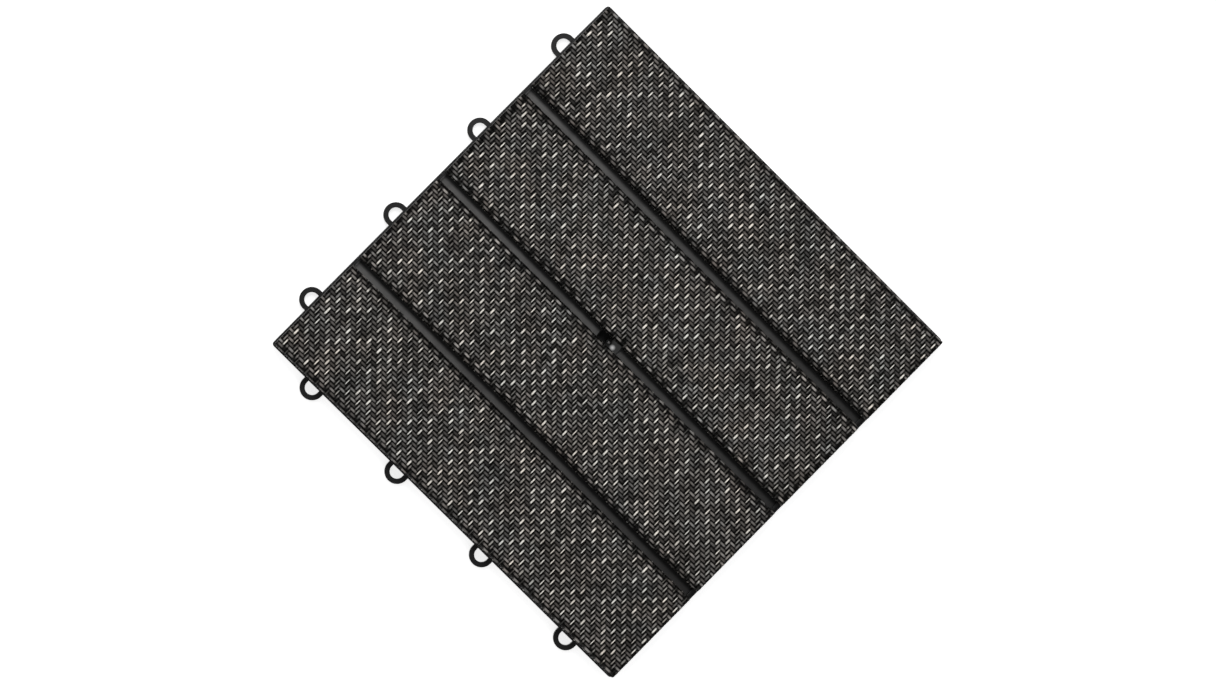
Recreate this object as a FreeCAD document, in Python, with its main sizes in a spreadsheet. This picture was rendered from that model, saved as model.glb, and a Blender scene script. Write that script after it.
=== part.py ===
"""Interlocking deck tile: four boards wrapped in woven vinyl, screwed to one moulded base.

Frame: origin on the ground at the middle of the tile, +Z up, the boards run along Y.
The snap loops stand out of the -X and +Y sides, and the pegs sit inside the +X and -Y sides.
Lengths are in millimetres.
"""

import FreeCAD, Part
import os
from types import SimpleNamespace

import Sketcher

document = FreeCAD.newDocument("deck_tile")
sheet = document.addObject("Spreadsheet::Sheet", "size")

SIZES = {
    # Base moulding
    "tile_size": 300,
    "corner_radius": 2,
    "base_height": 11,
    "plate_thickness": 2,
    "rim_thickness": 2.2,
    "rib_thickness": 1.8,
    "rib_rows": 12,
    "foot_height": 2,
    "foot_length": 10,
    # Boards and the grooves between them
    "slat_count": 4,
    "slat_gap": 6,
    "slat_inset": 1,
    "slat_height": 12.2,
    # Woven cover
    "cover_thickness": 1.2,
    "glue_line": 0.1,
    "shoulder_inner_radius": 1.2,
    "hem_inner_radius": 0.4,
    "hem_width": 8,
    "warp_pitch": 2.304,
    "weft_pitch": 2.257,
    "yarn_groove_width": 0.8,
    "yarn_groove_depth": 0.45,
    "selvedge_width": 5.6,
    # Snap loops and pegs
    "snap_count": 4,
    "loop_straight": 1.65,
    "loop_width": 15.9,
    "loop_band": 2.8,
    "loop_height": 3.6,
    "loop_ground_clearance": 2.3,
    "snap_clearance": 0.3,
    "barb_bite": 0.5,
    "barb_height": 1.1,
    # Stops at the ends of the grooves
    "stop_inset": 1.25,
    "stop_thickness": 1.7,
    "stop_height": 3,
    "stop_clearance": 0.2,
    # Drain in the middle of the tile
    "drain_radius": 9,
    "drain_wall": 1.8,
    "hub_radius": 2,
    "hub_dimple_radius": 0.8,
    "hub_dimple_depth": 2,
    # Screws from below
    "screw_radius": 2,
    "screw_length": 12,
    "screw_tip": 3,
    "screw_head_radius": 3.9,
    "screw_head_height": 2.4,
    "screw_head_crown": 1,
    "screw_hole_clearance": 0.25,
    "thread_clearance": 0.05,
    "boss_margin": 0.6,
    "boss_plate": 4,
    "pilot_reserve": 0.5,
}

# Sizes that follow from the ones above
DERIVED = {
    "half_tile": "tile_size / 2",
    "slat_length": "tile_size - 2 * slat_inset",
    "slat_width": "( slat_length - ( slat_count - 1 ) * slat_gap ) / slat_count",
    "slat_pitch": "slat_width + slat_gap",
    "snap_pitch": "tile_size / snap_count",
    "screw_row_spacing": "tile_size * 3 / 4",
    "rib_pitch_across": "slat_pitch / 3",
    "rib_pitch_along": "tile_size / rib_rows",
    "deck_height": "base_height + slat_height",
    "shoulder_radius": "shoulder_inner_radius + cover_thickness",
    "hem_radius": "hem_inner_radius + cover_thickness",
    "loop_reach": "loop_width / 2 + loop_straight",
    "peg_width": "loop_width - 2 * loop_band - 2 * snap_clearance",
    "peg_depth": "loop_reach - loop_band - 2 * snap_clearance",
    "rib_steps_across": "floor(half_tile / rib_pitch_across - 0.5)",
    "peg_face": "half_tile - snap_clearance",
    "peg_centre": "peg_face - peg_depth + peg_width / 2",
    "barb_low": "loop_ground_clearance - snap_clearance - barb_height",
    "notch_top": "loop_ground_clearance + loop_height + snap_clearance",
    "seat_height": "base_height - boss_plate",
}

for row, (alias, content) in enumerate(list(SIZES.items()) + list(DERIVED.items()), start=1):
    cell = f"B{row}"
    sheet.set(f"A{row}", alias)
    sheet.set(cell, f"={content}" if alias in DERIVED else str(content))
    sheet.setAlias(cell, alias)
document.recompute()

# The sheet's present values, for shapes that are worked out in loops
mm = SimpleNamespace(**{alias: float(sheet.get(alias)) for alias in [*SIZES, *DERIVED]})

# Turns in degrees about the tile's middle, from the +X side to the sides with loops or pegs
LOOP_SIDES = (90, 180)
PEG_SIDES = (0, -90)


def bound(formula):
    """The formula with each size written as a cell of the sheet."""
    words = formula.replace("(", "( ").replace(")", " )").split()
    names = set(SIZES) | set(DERIVED)
    return " ".join(f"size.{word}" if word in names else word for word in words)


def number(formula):
    """The present value of a formula."""
    return float(sheet.evalExpression(bound(formula)))


def bind(item, prop, formula):
    item.setExpression(prop, bound(formula))


def origin_feature(body, role):
    """One of the body's own base planes or axes."""
    return next(part for part in body.Origin.OriginFeatures if part.Role == role)


def new_body(label, across="0", along="0"):
    """An empty sub-part, placed on the tile by formulas."""
    body = document.addObject("PartDesign::Body", label)
    body.Label = label
    bind(body, "Placement.Base.x", across)
    bind(body, "Placement.Base.y", along)
    return body


def new_sketch(body, name, role="XY_Plane", level="0"):
    sketch = body.newObject("Sketcher::SketchObject", name)
    sketch.AttachmentSupport = [(origin_feature(body, role), "")]
    sketch.MapMode = "FlatFace"
    bind(sketch, "AttachmentOffset.Base.z", level)
    return sketch


def set_distance(sketch, kind, edge, end, formula):
    """Hold one end of an edge at a signed distance from the sketch's origin."""
    index = sketch.addConstraint(Sketcher.Constraint(kind, -1, 1, edge, end, number(formula)))
    sketch.setExpression(f"Constraints[{index}]", bound(formula))


def set_radius(sketch, edge, formula):
    index = sketch.addConstraint(Sketcher.Constraint("Radius", edge, number(formula)))
    sketch.setExpression(f"Constraints[{index}]", bound(formula))


def arc_between(start, end, radius, turn):
    """The minor arc from start to end that turns left (+1) or right (-1)."""
    chord = end.sub(start)
    sagitta_side = FreeCAD.Vector(-chord.y, chord.x, 0).normalize()
    height = max(radius ** 2 - (chord.Length / 2) ** 2, 0) ** 0.5
    centre = start.add(chord.multiply(0.5)).add(sagitta_side.multiply(turn * height))
    first = (start.sub(centre), end.sub(centre))
    if turn < 0:
        first = (first[1], first[0])
    angles = [FreeCAD.Vector(1, 0, 0).getAngle(arm) * (1 if arm.y >= 0 else -1) for arm in first]
    circle = Part.Circle(centre, FreeCAD.Vector(0, 0, 1), radius)
    return Part.ArcOfCircle(circle, angles[0], angles[1])


def outline(sketch, corners):
    """A closed outline of straight and round stretches.

    Each corner is (across, up) or (across, up, radius, turn), all formulas but the turn: with a
    radius, the stretch that leaves this corner is an arc that turns left (+1) or right (-1).
    """
    points = [FreeCAD.Vector(number(corner[0]), number(corner[1]), 0) for corner in corners]
    stretches = []
    for place, corner in enumerate(corners):
        start = points[place]
        end = points[(place + 1) % len(points)]
        if len(corner) == 4:
            edge = sketch.addGeometry(arc_between(start, end, number(corner[2]), corner[3]))
            ends = (1, 2) if corner[3] > 0 else (2, 1)
        else:
            edge = sketch.addGeometry(Part.LineSegment(start, end))
            ends = (1, 2)
        stretches.append((edge, ends))
    for place, corner in enumerate(corners):
        edge, ends = stretches[place]
        next_edge, next_ends = stretches[(place + 1) % len(stretches)]
        sketch.addConstraint(Sketcher.Constraint("Coincident", edge, ends[1], next_edge, next_ends[0]))
        set_distance(sketch, "DistanceX", edge, ends[0], corner[0])
        set_distance(sketch, "DistanceY", edge, ends[0], corner[1])
        if len(corner) == 4:
            set_radius(sketch, edge, corner[2])


def circle(sketch, across, up, radius):
    centre = FreeCAD.Vector(number(across), number(up), 0)
    edge = sketch.addGeometry(Part.Circle(centre, FreeCAD.Vector(0, 0, 1), number(radius)))
    set_distance(sketch, "DistanceX", edge, 3, across)
    set_distance(sketch, "DistanceY", edge, 3, up)
    set_radius(sketch, edge, radius)


def pad(body, name, sketch, length, symmetric=False):
    feature = body.newObject("PartDesign::Pad", name)
    feature.Refine = False
    feature.Profile = sketch
    feature.SideType = "Symmetric" if symmetric else "One side"
    bind(feature, "Length", length)
    return feature


def pocket(body, name, sketch, length, symmetric=False, upward=False):
    """A cut from the sketch downwards, or upwards where asked."""
    feature = body.newObject("PartDesign::Pocket", name)
    feature.Refine = False
    feature.Profile = sketch
    feature.SideType = "Symmetric" if symmetric else "One side"
    feature.Reversed = upward
    bind(feature, "Length", length)
    return feature


def straight_step(body, name, axis, spacing, count):
    """Copies along one axis, for use in a pattern of two steps."""
    step = body.newObject("PartDesign::LinearPattern", name)
    step.Direction = (origin_feature(body, axis), [""])
    step.Mode = "Spacing"
    bind(step, "Offset", spacing)
    bind(step, "Occurrences", count)
    return step


def row_of(body, name, features, axis, spacing, count):
    """Repeat features along one axis."""
    row = straight_step(body, name, axis, spacing, count)
    row.Originals = features
    row.Refine = False
    body.Tip = row


def build_base():
    """The moulded base. Its many cells, loops and pegs are worked out in loops from the sheet."""
    shape = base_block().fuse(groove_stops() + feet() + snap_loops())
    shape = shape.cut(underside_cells() + peg_notches())
    shape = shape.fuse(screw_bosses() + [drain_collar()] + snap_pegs())
    shape = shape.cut(screw_holes() + [drain_hole()])
    shape = shape.fuse(drain_bridge()).cut(hub_dimple()).removeSplitter()
    base = document.addObject("Part::Feature", "base_grid")
    base.Label = "base_grid"
    base.Shape = shape.Solids[0] if len(shape.Solids) == 1 else shape
    base.Placement = FreeCAD.Placement()
    return base


def block_between(across, along, up):
    """A box from three pairs of limits."""
    corner = FreeCAD.Vector(across[0], along[0], up[0])
    return Part.makeBox(across[1] - across[0], along[1] - along[0], up[1] - up[0], corner)


def post(middle, radius, up):
    """An upright cylinder between two levels."""
    return Part.makeCylinder(radius, up[1] - up[0], FreeCAD.Vector(middle[0], middle[1], up[0]))


def spread(count, pitch):
    """Places of a row of things about its middle."""
    return [pitch * (place - (count - 1) / 2) for place in range(int(count))]


def base_block():
    """Outside of the moulding, from the ribs' lower edges to the top of the deck plate."""
    half = mm.half_tile
    block = block_between((-half, half), (-half, half), (mm.foot_height, mm.base_height))
    upright = [edge for edge in block.Edges if abs(edge.tangentAt(edge.FirstParameter).z) > 0.5]
    return block.makeFillet(mm.corner_radius, upright)


def groove_stops():
    """Low stops at both ends of each groove, which keep the boards apart."""
    half_width = mm.slat_gap / 2 - mm.stop_clearance
    outer = mm.half_tile - mm.stop_inset
    inner = outer - mm.stop_thickness
    level = (mm.base_height, mm.base_height + mm.stop_height)
    return [
        block_between((groove - half_width, groove + half_width), ends, level)
        for groove in spread(mm.slat_count - 1, mm.slat_pitch)
        for ends in ((-outer, -inner), (inner, outer))
    ]


def rib_lines():
    """Middle lines of the ribs across and along the tile, the rim's inner faces at both ends."""
    rim = mm.half_tile - mm.rim_thickness
    across = spread(2 * mm.rib_steps_across + 1, mm.rib_pitch_across)
    along = spread(mm.rib_rows - 1, mm.rib_pitch_along)
    edge = rim + mm.rib_thickness / 2
    return [-edge] + across + [edge], [-edge] + along + [edge]


def feet():
    """Under every second crossing a rib runs down to the ground as a short foot."""
    across, along = rib_lines()
    half_rib = mm.rib_thickness / 2
    half_foot = mm.foot_length / 2
    return [
        block_between((x - half_rib, x + half_rib), (y - half_foot, y + half_foot), (0, mm.foot_height))
        for x in across[1:-1:2]
        for y in along[1:-1:2]
    ]


def underside_cells():
    """The open cells between the ribs; those beside the rim are cut short by it."""
    across, along = rib_lines()
    half_rib = mm.rib_thickness / 2
    level = (mm.foot_height, mm.base_height - mm.plate_thickness)
    return [
        block_between((left + half_rib, right - half_rib), (low + half_rib, high - half_rib), level)
        for left, right in zip(across, across[1:])
        for low, high in zip(along, along[1:])
    ]


def at_stations(shape, turns):
    """Copies of a shape made for the +X side, spread along that side and turned onto others."""
    copies = []
    for turn in turns:
        for place in spread(mm.snap_count, mm.snap_pitch):
            copy = shape.copy()
            copy.translate(FreeCAD.Vector(0, place, 0))
            copy.rotate(FreeCAD.Vector(0, 0, 0), FreeCAD.Vector(0, 0, 1), turn)
            copies.append(copy)
    return copies


def round_ended(start, centre, half_width, up):
    """A tongue that runs along +X from its start and ends in a half circle."""
    straight = block_between((start, centre), (-half_width, half_width), up)
    return straight.fuse(post((centre, 0), half_width, up))


def snap_loops():
    """Loops that stand out of the -X and +Y sides."""
    outer_half = mm.loop_width / 2
    inner_half = outer_half - mm.loop_band
    level = (mm.loop_ground_clearance, mm.loop_ground_clearance + mm.loop_height)
    root = mm.half_tile - mm.rim_thickness / 2
    reach = mm.half_tile + mm.loop_reach
    band = round_ended(root, reach - outer_half, outer_half, level)
    hole = round_ended(mm.half_tile, reach - mm.loop_band - inner_half, inner_half, level)
    return at_stations(band.cut(hole).removeSplitter(), LOOP_SIDES)


def peg_notches():
    """Notches in the rim through which a neighbour's loops reach the pegs."""
    half = mm.loop_width / 2 + mm.snap_clearance
    rim = (mm.half_tile - mm.rim_thickness, mm.half_tile)
    return at_stations(block_between(rim, (-half, half), (mm.foot_height, mm.notch_top)), PEG_SIDES)


def snap_pegs():
    """Barbed D-shaped pegs that hang from the plate inside the +X and -Y sides."""
    half = mm.peg_width / 2
    level = (mm.barb_low, mm.base_height - mm.plate_thickness)
    room = block_between((mm.peg_face - mm.peg_depth, mm.peg_face), (-half, half), level)
    straight = block_between((mm.peg_centre, mm.peg_face), (-half, half), level)
    peg = straight.fuse(post((mm.peg_centre, 0), half, level).common(room))
    barb_top = mm.barb_low + mm.barb_height
    section = [
        (-half - mm.barb_bite, barb_top),
        (-half, mm.barb_low),
        (half, mm.barb_low),
        (half + mm.barb_bite, barb_top),
        (-half - mm.barb_bite, barb_top),
    ]
    points = [FreeCAD.Vector(mm.peg_centre, along, up) for along, up in section]
    barbs = Part.Face(Part.makePolygon(points))
    barbs = barbs.extrude(FreeCAD.Vector(mm.peg_face - mm.peg_centre, 0, 0))
    return at_stations(peg.fuse(barbs).removeSplitter(), PEG_SIDES)


def screw_places():
    return [
        (across, along)
        for across in spread(mm.slat_count, mm.slat_pitch)
        for along in spread(2, mm.screw_row_spacing)
    ]


def screw_bosses():
    """Collars under the plate that the screw heads bear on."""
    radius = mm.screw_head_radius + mm.boss_margin
    level = (mm.seat_height, mm.base_height - mm.plate_thickness)
    return [post(middle, radius, level) for middle in screw_places()]


def screw_holes():
    radius = mm.screw_radius + mm.screw_hole_clearance
    return [post(middle, radius, (mm.seat_height, mm.base_height)) for middle in screw_places()]


def drain_collar():
    """Wall round the drain, as deep as the ribs."""
    radius = mm.drain_radius + mm.drain_wall
    return post((0, 0), radius, (mm.foot_height, mm.base_height - mm.plate_thickness))


def drain_hole():
    return post((0, 0), mm.drain_radius, (mm.foot_height, mm.base_height))


def drain_bridge():
    """The rib across the drain, with a small hub at the tile's middle that stands on the ground."""
    reach = mm.drain_radius + mm.drain_wall / 2
    half_rib = mm.rib_thickness / 2
    level = (mm.foot_height, mm.base_height - mm.plate_thickness)
    bridge = block_between((-reach, reach), (-half_rib, half_rib), level)
    return bridge.fuse(post((0, 0), mm.hub_radius, (0, mm.base_height - mm.plate_thickness)))


def hub_dimple():
    top = mm.base_height - mm.plate_thickness
    return post((0, 0), mm.hub_dimple_radius, (top - mm.hub_dimple_depth, top))


def slat_place(place):
    """Formula for the middle of one board across the tile."""
    return f"slat_pitch * ( {place} - ( slat_count - 1 ) / 2 )"


def build_core(place):
    """One board: rounded shoulders, and a rebate along each lower edge for the cover's hem."""
    body = new_body(f"slat_core_{place + 1}", slat_place(place))
    side = "( slat_width / 2 - cover_thickness - glue_line )"
    top = "( deck_height - cover_thickness - glue_line )"
    step = "( base_height + cover_thickness + glue_line )"
    keel = "( slat_width / 2 - hem_width - glue_line )"
    shoulder = "shoulder_inner_radius"
    heel = "hem_inner_radius"
    section = new_sketch(body, "section", "XZ_Plane")
    outline(section, [
        (f"0 - {keel}", "base_height"),
        (keel, "base_height"),
        (keel, step),
        (f"{side} - {heel}", step, heel, 1),
        (side, f"{step} + {heel}"),
        (side, f"{top} - {shoulder}", shoulder, 1),
        (f"{side} - {shoulder}", top),
        (f"0 - {side} + {shoulder}", top, shoulder, 1),
        (f"0 - {side}", f"{top} - {shoulder}"),
        (f"0 - {side}", f"{step} + {heel}", heel, 1),
        (f"0 - {side} + {heel}", step),
        (f"0 - {keel}", step),
    ])
    pad(body, "board", section, "slat_length", symmetric=True)

    pilots = new_sketch(body, "pilot_outline", level="base_height")
    circle(pilots, "0", "0 - screw_row_spacing / 2", "screw_radius + thread_clearance")
    depth = "seat_height + screw_length + pilot_reserve - base_height"
    pilot = pocket(body, "pilot", pilots, depth, upward=True)
    row_of(body, "pilots", [pilot], "Y_Axis", "screw_row_spacing", "2")
    return body


def build_cover(place):
    """One woven cover: wrapped over the board and hemmed under its long edges."""
    body = new_body(f"woven_cover_{place + 1}", slat_place(place))
    side = "( slat_width / 2 )"
    inside = "( slat_width / 2 - cover_thickness )"
    hem = "( slat_width / 2 - hem_width )"
    floor_up = "( base_height + cover_thickness )"
    under_top = "( deck_height - cover_thickness )"
    shoulder_level = "( deck_height - shoulder_radius )"
    heel_level = "( base_height + hem_radius )"
    shoulder_across = "( slat_width / 2 - shoulder_radius )"
    heel_across = "( slat_width / 2 - hem_radius )"
    section = new_sketch(body, "section", "XZ_Plane")
    outline(section, [
        (hem, "base_height"),
        (heel_across, "base_height", "hem_radius", 1),
        (side, heel_level),
        (side, shoulder_level, "shoulder_radius", 1),
        (shoulder_across, "deck_height"),
        (f"0 - {shoulder_across}", "deck_height", "shoulder_radius", 1),
        (f"0 - {side}", shoulder_level),
        (f"0 - {side}", heel_level, "hem_radius", 1),
        (f"0 - {heel_across}", "base_height"),
        (f"0 - {hem}", "base_height"),
        (f"0 - {hem}", floor_up),
        (f"0 - {heel_across}", floor_up, "hem_inner_radius", -1),
        (f"0 - {inside}", heel_level),
        (f"0 - {inside}", shoulder_level, "shoulder_inner_radius", -1),
        (f"0 - {shoulder_across}", under_top),
        (shoulder_across, under_top, "shoulder_inner_radius", -1),
        (inside, shoulder_level),
        (inside, heel_level, "hem_inner_radius", -1),
        (heel_across, floor_up),
        (hem, floor_up),
    ])
    pad(body, "wrap", section, "slat_length", symmetric=True)
    cut_warp_grooves(body, shoulder_across, shoulder_level)
    cut_weft_grooves(body)
    return body


def valley(sketch, across, up, inward):
    """Cross-section of one groove: a kite whose deep corner points along inward."""
    side, rise = (f"( {part} )" for part in inward)
    half = "yarn_groove_width / 2"
    depth = "yarn_groove_depth"
    outline(sketch, [
        (f"{across} + {side} * {depth}", f"{up} + {rise} * {depth}"),
        (f"{across} - {rise} * {half}", f"{up} + {side} * {half}"),
        (f"{across} - {side} * {half}", f"{up} - {rise} * {half}"),
        (f"{across} + {rise} * {half}", f"{up} - {side} * {half}"),
    ])


def cut_warp_grooves(body, shoulder_across, shoulder_level):
    """Lengthwise valleys between the warp yarns on the shoulders and sides."""
    grooves = new_sketch(body, "warp_groove_outline", "XZ_Plane")
    diagonal = "shoulder_radius * 0.7071"
    yarns_down_side = int(number("( slat_height - shoulder_radius - hem_radius ) / warp_pitch"))
    for sign in (-1, 1):
        mirror = f"{sign} *"
        for inward in ("0", "warp_pitch"):
            level_across = f"{mirror} ( {shoulder_across} - {inward} )"
            valley(grooves, level_across, "deck_height", ("0", "-1"))
        bend = f"{mirror} ( {shoulder_across} + {diagonal} )"
        bend_level = f"{shoulder_level} + {diagonal}"
        valley(grooves, bend, bend_level, (f"{-sign} * 0.7071", "-0.7071"))
        for yarn in range(yarns_down_side + 1):
            level = f"{shoulder_level} - warp_pitch * ( {yarn} + 0.25 )"
            valley(grooves, f"{mirror} ( slat_width / 2 )", level, (f"{-sign}", "0"))
    pocket(body, "warp_grooves", grooves, "slat_length", symmetric=True)


def cut_weft_grooves(body):
    """Valleys between the weft yarns, across the flat top of the cover."""
    yarns = int(number("slat_length / weft_pitch"))
    first = f"( weft_pitch * ( {yarns} - 2 ) / 2 )"
    groove = new_sketch(body, "weft_groove_outline", "YZ_Plane")
    outline(groove, [
        (f"0 - {first}", "deck_height - yarn_groove_depth"),
        (f"0 - {first} + yarn_groove_width / 2", "deck_height"),
        (f"0 - {first} - yarn_groove_width / 2", "deck_height"),
    ])
    length = "slat_width - 2 * selvedge_width"
    first_groove = pocket(body, "weft_groove", groove, length, symmetric=True)
    row_of(body, "weft_grooves", [first_groove], "Y_Axis", "weft_pitch", f"{yarns} - 1")


def build_screws(place):
    """The screws of one board: pan head, shank and point."""
    body = new_body(f"slat_screws_{place + 1}", slat_place(place), "0 - screw_row_spacing / 2")
    body.AllowCompound = True
    section = new_sketch(body, "section", "XZ_Plane")
    shank_end = "( seat_height + screw_length )"
    head_low = "( seat_height - screw_head_height )"
    outline(section, [
        ("0", head_low),
        ("screw_head_radius - screw_head_crown", head_low),
        ("screw_head_radius", f"{head_low} + screw_head_crown"),
        ("screw_head_radius", "seat_height"),
        ("screw_radius", "seat_height"),
        ("screw_radius", f"{shank_end} - screw_tip"),
        ("0", shank_end),
    ])
    turned = body.newObject("PartDesign::Revolution", "screw")
    turned.Profile = section
    turned.ReferenceAxis = (section, ["V_Axis"])
    turned.Angle = 360
    row_of(body, "screws", [turned], "Y_Axis", "screw_row_spacing", "2")
    return body


def check(items):
    """Stop on any failed feature or empty, open or invalid shape."""
    for item in document.Objects:
        if "Invalid" in item.State or "Error" in item.State:
            raise RuntimeError(f"{item.Name} did not build: {item.State}")
    for item in items:
        if item.Shape.isNull() or not item.Shape.isValid():
            raise RuntimeError(f"{item.Label} has no valid shape")


def main():
    sub_parts = [build_base()]
    for place in range(SIZES["slat_count"]):
        sub_parts += [build_core(place), build_cover(place), build_screws(place)]
    document.recompute()
    check(sub_parts)
    os.makedirs("parts", exist_ok=True)
    for item in sub_parts:
        item.Shape.exportStep(f"parts/{item.Label}.step")
        box = item.Shape.BoundBox
        print(f"{item.Label}: {len(item.Shape.Solids)} solid, {item.Shape.Volume / 1000:.2f} cm3, "
              f"x {box.XMin:.2f} {box.XMax:.2f}, y {box.YMin:.2f} {box.YMax:.2f}, "
              f"z {box.ZMin:.2f} {box.ZMax:.2f}")


main()
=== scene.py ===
"""Interlocking deck tile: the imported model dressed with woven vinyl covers, moulded plastic,
composite boards, steel screws and a plain studio. Lengths are in metres, in the model's frame."""

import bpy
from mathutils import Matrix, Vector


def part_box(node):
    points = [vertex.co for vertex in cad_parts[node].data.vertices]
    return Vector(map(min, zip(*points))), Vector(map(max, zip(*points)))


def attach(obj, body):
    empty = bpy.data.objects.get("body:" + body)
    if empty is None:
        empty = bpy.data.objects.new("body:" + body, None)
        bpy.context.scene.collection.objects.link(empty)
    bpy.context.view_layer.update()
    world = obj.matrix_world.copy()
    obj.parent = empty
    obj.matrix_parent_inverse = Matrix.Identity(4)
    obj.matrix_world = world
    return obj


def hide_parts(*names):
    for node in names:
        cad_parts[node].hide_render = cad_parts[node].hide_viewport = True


bl_info = {
    "name": "Interlocking Deck Tile",
    "version": (1, 0, 0),
    "blender": (4, 5, 0),
    "location": "3D View > Sidebar > Deck Tile",
    "description": "Woven covers, moulded base, boards, screws and studio of a deck tile",
    "category": "Add Mesh",
}

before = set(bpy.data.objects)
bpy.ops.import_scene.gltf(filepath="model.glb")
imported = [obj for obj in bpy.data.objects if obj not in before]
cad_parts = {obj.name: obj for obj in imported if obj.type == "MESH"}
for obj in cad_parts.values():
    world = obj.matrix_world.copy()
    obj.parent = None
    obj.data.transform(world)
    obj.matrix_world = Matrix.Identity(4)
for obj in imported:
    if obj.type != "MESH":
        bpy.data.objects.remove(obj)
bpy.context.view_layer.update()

import math

import bmesh
import bpy
import numpy as np
from bpy.props import FloatProperty, FloatVectorProperty, IntProperty, PointerProperty
from mathutils import Matrix, Vector

MM = 0.001
SLATS = (1, 2, 3, 4)
# Snap loops: their places along a side, the middle of their round end past the tile's side and
# a radius between their inner and outer walls
LOOP_STATIONS = (-112.5 * MM, -37.5 * MM, 37.5 * MM, 112.5 * MM)
LOOP_MIDDLE = 1.65 * MM
LOOP_WALL = 6.3 * MM
# The four-yarn twill: each weft passes over two warps and under two. The phases say at which
# sum of the two yarn counts a warp's and a weft's float has its middle
TWILL = 4
WARP_PHASE, WEFT_PHASE = 2.5, 0.5
# Height of the yarns' middle above the cloth's middle line
YARN_LIFT = 0.03 * MM
# Fine ribs round a yarn's section
RIBS = 7
# Spread of the floats' sideways shift, and of the yarns' shades
WANDER, YARN_SPREAD = 0.1 * MM, 0.14
# On the bends the wefts sink this deep and lose this share of their wave, this far each way
DRAW_DEPTH, DRAW_FLAT, DRAW_REACH = 0.16 * MM, 0.45, 2.2 * MM
# Grooves between the boards: their spacing, with one of them on the y axis
GROOVE_PITCH = 76 * MM
# The moulding's corners nearer than this are welded, its faces that turn less than this are
# joined, and its edges that turn more than the crease are rounded
WELD, FLAT, CREASE = 0.001 * MM, math.radians(0.5), math.radians(28)
# Points around a screw, rings over its head, rings over the head's rim, rings for each thread
SCREW_AROUND, HEAD_RINGS, RIM_RINGS, THREAD_RINGS = 72, 28, 6, 7
# Steps of the backing over its nine parts: hem, heel, side, shoulder, top and back again
BACKING_STEPS = (4, 6, 5, 8, 24, 8, 5, 6, 4)
BACKING_ROWS = 41
# The camera leans from straight above to +Y and to -X and rolls a little, so that it stands
# where the photo's did. It looks at the target from the distance
LEAN_Y, LEAN_X, ROLL = math.radians(4.5), math.radians(2.5), -0.003
CAMERA_TARGET = Vector((-0.4 * MM, 0.674 * MM, 11 * MM))
CAMERA_DISTANCE = 2.8
FLOOR_HALF = 6.0

# How the cloth lies on each board. "warp" and "weft" are yarns per millimetre along x and y,
# "start" is the warp and weft count at the board's middle, and "light_warp" and "cream_weft"
# say whether the even (0) or odd (1) yarns are the paler ones.
CLOTH_LAY = {
    1: dict(warp=(0.4341, 0.0021), weft=(-0.0036, -0.4454), start=(14.724, 66.425),
            light_warp=0, cream_weft=0),
    2: dict(warp=(0.4372, 0.0029), weft=(0.0036, -0.4429), start=(47.441, 66.610),
            light_warp=0, cream_weft=1),
    3: dict(warp=(0.4358, 0.0019), weft=(-0.0125, -0.4444), start=(79.376, 64.219),
            light_warp=1, cream_weft=0),
    4: dict(warp=(0.4361, 0.0008), weft=(-0.0096, -0.4443), start=(115.370, 64.015),
            light_warp=0, cream_weft=1),
}


def size_of(name, text, millimetres):
    """A length setting, given in millimetres."""
    return FloatProperty(name=name, description=text, default=millimetres * MM, unit="LENGTH")


def colour_of(name, text, colour):
    """A colour setting."""
    return FloatVectorProperty(name=name, description=text, subtype="COLOR", default=colour)


def level(name, text, default):
    """A strength of light, from 0 up."""
    return FloatProperty(name=name, description=text, default=default, min=0)


class ClothProps(bpy.types.PropertyGroup):
    thickness: size_of("Cloth thickness", "Room the cover takes on the board", 1.2)
    shoulder_radius: size_of("Shoulder radius", "Outer bend over the upper edges", 2.4)
    heel_radius: size_of("Heel radius", "Outer bend at the lower edges", 1.6)
    hem_width: size_of("Hem width", "Cloth turned under each lower edge", 8)
    backing: size_of("Backing", "Thickness of the backing under the yarns", 0.12)
    warp_width: size_of("Warp width", "Width of a lengthwise yarn", 1.72)
    weft_width: size_of("Weft width", "Width of a crosswise yarn", 1.5)
    yarn_depth: size_of("Yarn depth", "Thickness of a yarn", 0.48)
    rise: size_of("Float rise", "Height of a float above the cloth's middle", 0.3)
    overhang: size_of("Overhang", "Cloth past the board at its near end", 0.6)
    edge_strip: size_of("Edge strip", "Width without pale dashes along each edge", 4.7)
    cream: colour_of("Cream weft", "Colour of the palest yarn", (0.84, 0.8, 0.73))
    grey: colour_of("Grey weft", "Colour of the other crosswise yarn", (0.245, 0.229, 0.216))
    stone: colour_of("Stone warp", "Colour of the paler lengthwise yarn", (0.235, 0.219, 0.206))
    umber: colour_of("Umber warp", "Colour of the darker lengthwise yarn", (0.108, 0.098, 0.091))
    seed: IntProperty(name="Seed", description="Start of the yarns' small differences", default=7)


class BaseProps(bpy.types.PropertyGroup):
    edge_radius: size_of("Edge radius", "Rounding of the moulding's edges", 0.25)
    loop_radius: size_of("Loop radius", "Rounding of the snap loops' edges", 0.7)
    loop_fill: size_of("Loop fill", "Thickness added inside the snap loops", 0.5)
    near_draft: size_of("Near draft", "Lean of the near wall out to its top", 1.2)
    colour: colour_of("Base colour", "Colour of the moulded plastic", (0.02, 0.02, 0.0205))


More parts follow.
